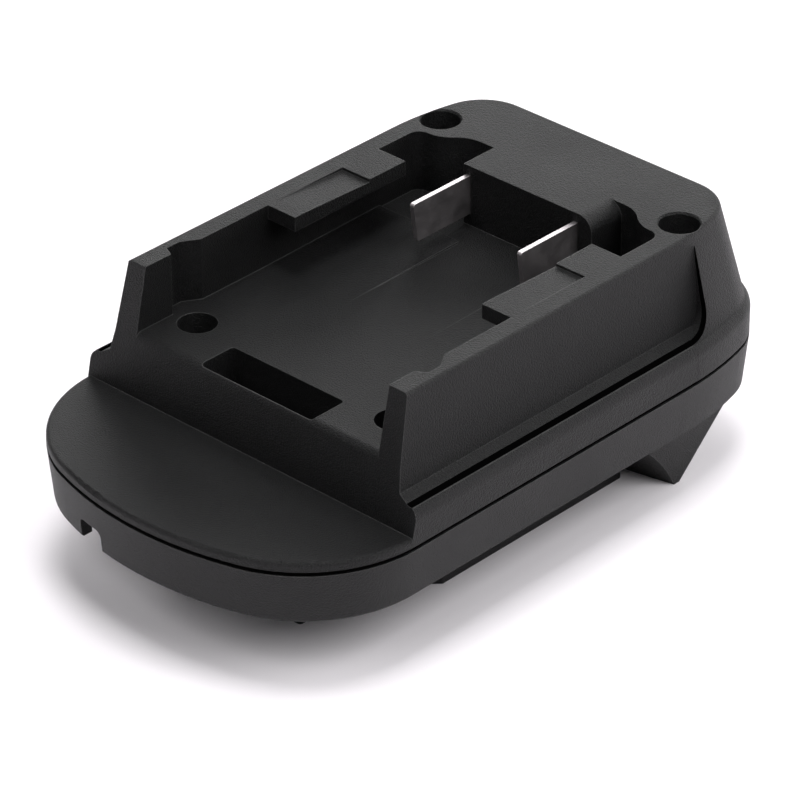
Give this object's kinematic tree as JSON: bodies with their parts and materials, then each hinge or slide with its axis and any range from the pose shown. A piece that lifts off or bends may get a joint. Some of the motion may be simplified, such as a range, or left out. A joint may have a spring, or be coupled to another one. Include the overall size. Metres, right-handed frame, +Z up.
{
  "type": "tool battery adapter",
  "caption": "Black plastic battery adapter with an open slide-on channel, two upright blade terminals and railed tower with a stop lip below.",
  "frame": {"origin": "middle of the base, on the plane of the rails' soles and the stop lip's edge", "axes": "+Z up out of the battery channel, -Y towards the rounded front where the battery slides in, +Y towards the terminals, +X to the right seen from the front"},
  "size_m": [0.082, 0.1328, 0.0514],
  "materials": {
    "black_plastic": "fine spark-textured black",
    "inner_plastic": "smooth black",
    "latch_plastic": "smooth dark grey",
    "nickel_plate": "bright nickel plate",
    "screw_steel": "black oxide",
    "spring_steel": "drawn wire",
    "board_laminate": "green solder mask",
    "resistor_body": "black glaze",
    "red_insulation": "red",
    "black_insulation": "black",
    "sleeve_plastic": "shrunk sleeve"
  },
  "bodies": {
    "shell": {"upper_housing": "black_plastic", "lower_housing": "black_plastic", "blade_holder": "inner_plastic", "contact_carrier": "inner_plastic", "latch_bridge": "inner_plastic", "positive_blade": "nickel_plate", "negative_blade": "nickel_plate", "positive_clip": "nickel_plate", "negative_clip": "nickel_plate", "signal_clips": "nickel_plate", "small_screws": "screw_steel", "housing_screws": "screw_steel", "latch_spring_left": "spring_steel", "latch_spring_right": "spring_steel", "contact_board": "board_laminate", "id_resistor": "resistor_body", "positive_lead": "red_insulation", "negative_lead": "black_insulation", "lead_sleeves": "sleeve_plastic"},
    "latch": {"release_latch": "latch_plastic", "release_button": "black_plastic"}
  },
  "joints": [
    {"name": "latch_slide", "type": "slide", "parent": "shell", "child": "latch", "axis": [0, 0, 1], "range_m": [0, 0.004], "stiffness_N_per_m": 800, "springref_m": -0.004, "deforming": ["latch_spring_left", "latch_spring_right"]}
  ]
}
